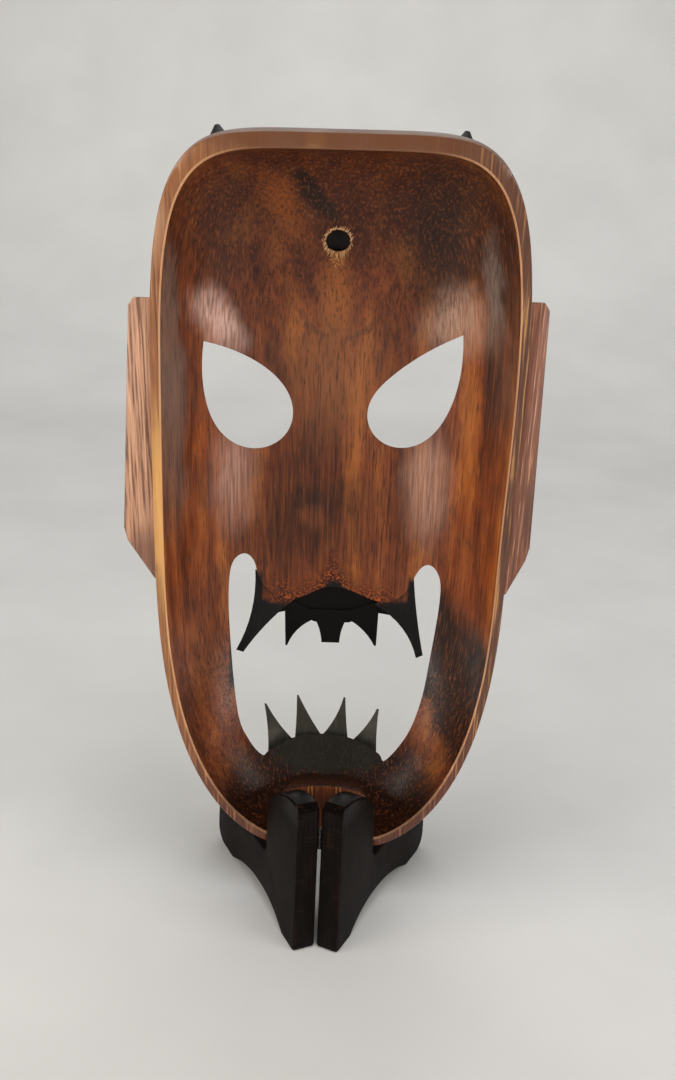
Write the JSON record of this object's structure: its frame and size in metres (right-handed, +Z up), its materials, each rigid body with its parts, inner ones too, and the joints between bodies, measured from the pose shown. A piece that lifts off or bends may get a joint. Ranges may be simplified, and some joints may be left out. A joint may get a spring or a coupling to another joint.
{
  "type": "carved mask on stand",
  "caption": "Carved wooden demon mask with eye holes, open fanged mouth, side ears and small horns, leaning back in a low folding stand.",
  "frame": {"origin": "on the ground, at the middle of the whole object's bounding box seen from above", "axes": "+Z up; the mask's carved face looks along -Y and its hollow back along +Y; +X is to the right of someone who looks at the carved face"},
  "size_m": [0.1618, 0.1042, 0.3423],
  "materials": {
    "oiled_hardwood": "oiled, satin",
    "black_stained_wood": "black stained, waxed",
    "blackened_steel": "blackened"
  },
  "bodies": {
    "mask_and_left_leaf": {"mask": "oiled_hardwood", "stand_leaf_left": "black_stained_wood", "hinge_plate_left": "blackened_steel"},
    "right_leaf": {"stand_leaf_right": "black_stained_wood", "hinge_plate_right": "blackened_steel"}
  },
  "joints": [
    {"name": "stand_hinge", "type": "hinge", "parent": "mask_and_left_leaf", "child": "right_leaf", "pos_m": [-0.0025, 0.03938, 0.0545], "axis": [0, 0, -1], "range_deg": [0, 10]}
  ]
}
